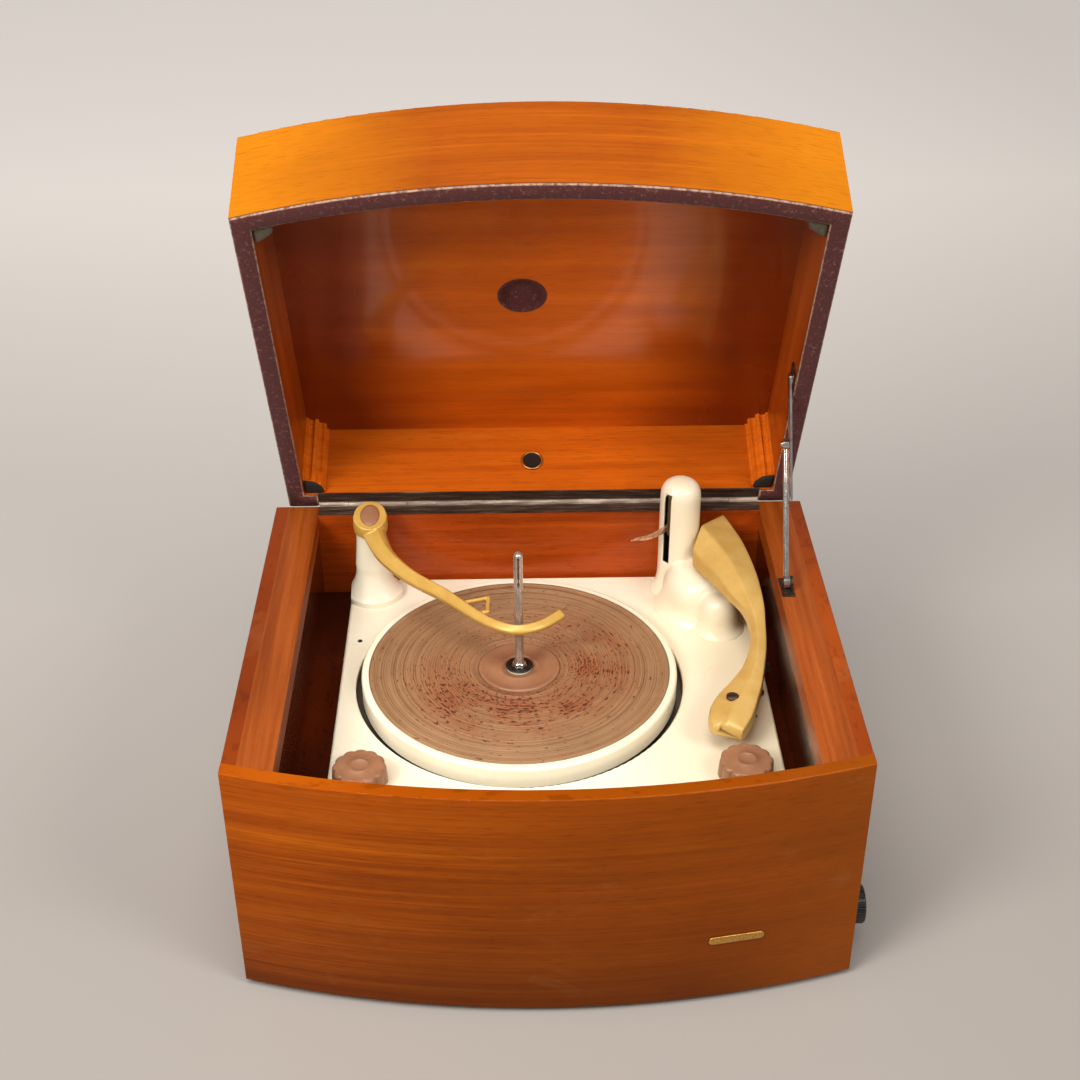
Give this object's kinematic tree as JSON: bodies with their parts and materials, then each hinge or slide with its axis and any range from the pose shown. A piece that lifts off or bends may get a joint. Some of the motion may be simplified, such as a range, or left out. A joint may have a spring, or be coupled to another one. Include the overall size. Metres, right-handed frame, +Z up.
{
  "type": "record player",
  "caption": "Table-top record changer in a bow-fronted polished wood cabinet, hinged lid open, with turntable, tone arm, record-holding arm, speakers and amplifier.",
  "frame": {"origin": "on the standing plane, on the cabinet's mid-plane, halfway along its straight sides", "axes": "+Z up, +X to the right seen from the front, +Y to the back, front bow towards -Y"},
  "size_m": [0.469, 0.459, 0.5883],
  "materials": {
    "cabinet_wood": "french-polished mahogany veneer",
    "lid_wood": "french-polished mahogany veneer",
    "lipping": "polished solid edge",
    "inner_wood": "polished",
    "plywood": "unfinished birch plywood",
    "hardboard": "pressed hardboard",
    "plinth_black": "stained black",
    "cream_enamel": "gloss stoved enamel",
    "cream_moulding": "gloss moulded",
    "mustard": "satin gold moulding",
    "brown_rubber": "ribbed mat",
    "brown_plastic": "moulded",
    "black_plastic": "moulded",
    "chrome": "bright plated",
    "steel": "plain",
    "aged_steel": "darkened with age",
    "black_rubber": "moulded",
    "maroon_felt": "flock",
    "grille_cloth": "woven",
    "cone_paper": "pressed paper",
    "valve_glass": "clear"
  },
  "bodies": {
    "cabinet": {"front_panel": "cabinet_wood", "left_side_wall": "cabinet_wood", "right_side_wall": "cabinet_wood", "rim_rails": "lipping", "inner_linings": "inner_wood", "back_rail": "inner_wood", "back_cover": "hardboard", "bottom_board": "plywood", "plinth_frame": "plinth_black", "motor_board": "inner_wood", "board_battens": "plywood", "grille_cloths": "grille_cloth", "speaker_frames": "steel", "speaker_cones": "cone_paper", "amplifier_chassis": "steel", "amplifier_valves": "valve_glass", "transformers": "steel", "smoothing_capacitor": "steel", "mains_inlet": "black_plastic", "hinge_base_leaf": "aged_steel", "hinge_pin": "aged_steel", "deck_plate": "cream_enamel", "deck_mounts": "black_rubber", "overarm_post": "cream_moulding", "arm_pedestal": "cream_moulding", "platter_bearing": "chrome", "spindle": "chrome", "motor_body": "steel", "arm_rest": "black_plastic", "control_pots": "steel", "stay_cabinet_bracket": "steel"},
    "lid": {"lid_top": "lid_wood", "lid_front": "lid_wood", "lid_left_side": "lid_wood", "lid_right_side": "lid_wood", "lid_back": "lid_wood", "lid_corner_blocks": "lid_wood", "lid_rim_felt": "maroon_felt", "hinge_lid_leaf": "aged_steel", "stay_lid_bracket": "steel"},
    "stay_rod": {"stay_rod": "chrome"},
    "stay_arm": {"stay_arm": "chrome"},
    "platter": {"platter": "cream_enamel", "platter_mat": "brown_rubber", "hub_disc": "brown_plastic"},
    "idler_carrier": {"idler_carrier": "steel"},
    "idler": {"idler_wheel": "black_rubber"},
    "motor_rotor": {"motor_pulley": "steel"},
    "speed_knob": {"speed_knob": "brown_plastic"},
    "start_knob": {"start_knob": "brown_plastic"},
    "volume_knob": {"volume_knob": "black_plastic"},
    "tone_knob": {"tone_knob": "black_plastic"},
    "tonearm_base": {"tonearm_gimbal": "steel"},
    "tonearm": {"tonearm_shell": "mustard", "cartridge": "black_plastic"},
    "stylus": {"stylus_bar": "steel"},
    "overarm_lift": {"overarm_shaft": "steel"},
    "overarm": {"overarm": "mustard"},
    "feeler": {"feeler_lever": "chrome"},
    "spindle_latch": {"spindle_latch": "steel"}
  },
  "joints": [
    {"name": "lid_hinge", "type": "hinge", "parent": "cabinet", "child": "lid", "pos_m": [0, 0.1774, 0.20795], "axis": [1, 0, 0], "range_deg": [0, 65.5]},
    {"name": "stay_rod_pivot", "type": "hinge", "parent": "cabinet", "child": "stay_rod", "pos_m": [0.1955, 0.042, 0.2122], "axis": [1, 0, 0], "range_deg": [0, 120.97]},
    {"name": "stay_arm_pivot", "type": "hinge", "parent": "lid", "child": "stay_arm", "pos_m": [0.199, 0.12448, 0.35241], "axis": [1, 0, 0], "range_deg": [-120.87, 0]},
    {"name": "platter_spin", "type": "hinge", "parent": "cabinet", "child": "platter", "pos_m": [-0.019, 0.01, 0.148], "axis": [0, 0, 1], "continuous": true},
    {"name": "idler_lift", "type": "slide", "parent": "cabinet", "child": "idler_carrier", "axis": [0, 0, 1], "range_m": [0, 0.0072]},
    {"name": "idler_spin", "type": "hinge", "parent": "idler_carrier", "child": "idler", "pos_m": [-0.11739, -0.02581, 0.135], "axis": [0, 0, 1], "continuous": true},
    {"name": "motor_spin", "type": "hinge", "parent": "cabinet", "child": "motor_rotor", "pos_m": [-0.10481, -0.04759, 0.123], "axis": [0, 0, 1], "continuous": true},
    {"name": "speed_knob_turn", "type": "hinge", "parent": "cabinet", "child": "speed_knob", "pos_m": [-0.138, -0.113, 0.143], "axis": [0, 0, 1], "range_deg": [0, 90]},
    {"name": "start_knob_turn", "type": "hinge", "parent": "cabinet", "child": "start_knob", "pos_m": [0.148, -0.112, 0.143], "axis": [0, 0, 1], "range_deg": [-35, 35]},
    {"name": "volume_turn", "type": "hinge", "parent": "cabinet", "child": "volume_knob", "pos_m": [0.2285, -0.139, 0.037], "axis": [1, 0, 0], "range_deg": [0, 280]},
    {"name": "tone_turn", "type": "hinge", "parent": "cabinet", "child": "tone_knob", "pos_m": [0.2285, -0.096, 0.037], "axis": [1, 0, 0], "range_deg": [0, 280]},
    {"name": "tonearm_swing", "type": "hinge", "parent": "cabinet", "child": "tonearm_base", "pos_m": [0.148, 0.113, 0.183], "axis": [0, 0, 1], "range_deg": [-38, 0]},
    {"name": "tonearm_lift", "type": "hinge", "parent": "tonearm_base", "child": "tonearm", "pos_m": [0.148, 0.113, 0.193], "axis": [-1, 0, 0], "range_deg": [0, 10]},
    {"name": "stylus_turn", "type": "hinge", "parent": "tonearm", "child": "stylus", "pos_m": [0.1413, -0.068, 0.1614], "axis": [-0.3714, -0.9285, 0], "range_deg": [0, 180]},
    {"name": "overarm_raise", "type": "slide", "parent": "cabinet", "child": "overarm_lift", "axis": [0, 0, 1], "range_m": [0, 0.012]},
    {"name": "overarm_swing", "type": "hinge", "parent": "overarm_lift", "child": "overarm", "pos_m": [-0.143, 0.135, 0.213], "axis": [0, 0, 1], "range_deg": [-50, 0]},
    {"name": "feeler_tilt", "type": "hinge", "parent": "cabinet", "child": "feeler", "pos_m": [0.1185, 0.1375, 0.211], "axis": [0.6157, -0.788, 0], "range_deg": [-18, 18], "stiffness_Nm_per_rad": 0.1},
    {"name": "latch_tilt", "type": "hinge", "parent": "cabinet", "child": "spindle_latch", "pos_m": [-0.019, 0.01, 0.24], "axis": [1, 0, 0], "range_deg": [-8, 0], "stiffness_Nm_per_rad": 0.02}
  ],
  "couplings": [
    {"joint": "stay_rod_pivot", "follows": "lid_hinge", "ratio": 1.8392},
    {"joint": "stay_arm_pivot", "follows": "lid_hinge", "ratio": -1.8378},
    {"joint": "idler_spin", "follows": "platter_spin", "ratio": 6.8333},
    {"joint": "motor_spin", "follows": "platter_spin", "ratio": -17.956},
    {"joint": "idler_lift", "follows": "speed_knob_turn", "m_per_rad": 0.0045837}
  ]
}
